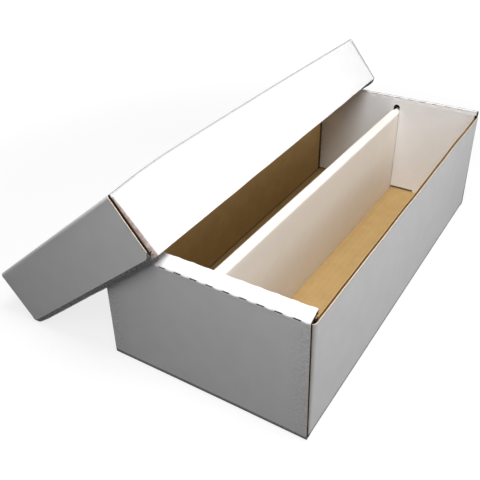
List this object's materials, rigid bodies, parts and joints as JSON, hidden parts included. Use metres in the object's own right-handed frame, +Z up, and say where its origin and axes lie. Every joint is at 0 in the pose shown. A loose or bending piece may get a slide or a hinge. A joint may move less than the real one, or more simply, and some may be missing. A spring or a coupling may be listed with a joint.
{
  "type": "card storage box",
  "caption": "Long lidded corrugated cardboard storage box for trading cards, with roll-over ends and a centre divider between two rows; its lift-off lid is tipped against the side.",
  "frame": {"origin": "centre of the tray's underside, on the surface that the box stands on", "axes": "+Z up; +Y along the rows, towards the back end; +X to the right, towards the tray's open side; the lid leans on the -X side"},
  "size_m": [0.3166, 0.4318, 0.1736],
  "materials": {
    "white_board": "matt white liner outside, brown kraft inside and in the cut edges",
    "kraft_inside": "plain brown kraft liner"
  },
  "bodies": {
    "tray": {"tray_floor": "kraft_inside", "tray_left_wall": "white_board", "tray_right_wall": "white_board", "tray_front_end_outer": "white_board", "tray_front_end_rim": "white_board", "tray_front_end_inner": "white_board", "tray_front_left_flap": "kraft_inside", "tray_front_right_flap": "kraft_inside", "tray_back_end_outer": "white_board", "tray_back_end_rim": "white_board", "tray_back_end_inner": "white_board", "tray_back_left_flap": "kraft_inside", "tray_back_right_flap": "kraft_inside"},
    "divider": {"divider_crown": "white_board", "divider_left_leaf": "white_board", "divider_right_leaf": "white_board"},
    "lid": {"lid_top": "white_board", "lid_left_wall": "white_board", "lid_right_wall": "white_board", "lid_front_end_outer": "white_board", "lid_front_end_rim": "white_board", "lid_front_end_inner": "white_board", "lid_front_left_flap": "kraft_inside", "lid_front_right_flap": "kraft_inside", "lid_back_end_outer": "white_board", "lid_back_end_rim": "white_board", "lid_back_end_inner": "white_board", "lid_back_left_flap": "kraft_inside", "lid_back_right_flap": "kraft_inside"}
  },
  "joints": [
    {"name": "lid_lift", "type": "slide", "parent": "tray", "child": "lid", "axis": [0, 0, 1], "range_m": [0, 0.2]},
    {"name": "divider_play", "type": "slide", "parent": "tray", "child": "divider", "axis": [0, 0, 1], "range_m": [0, 0.005]}
  ]
}
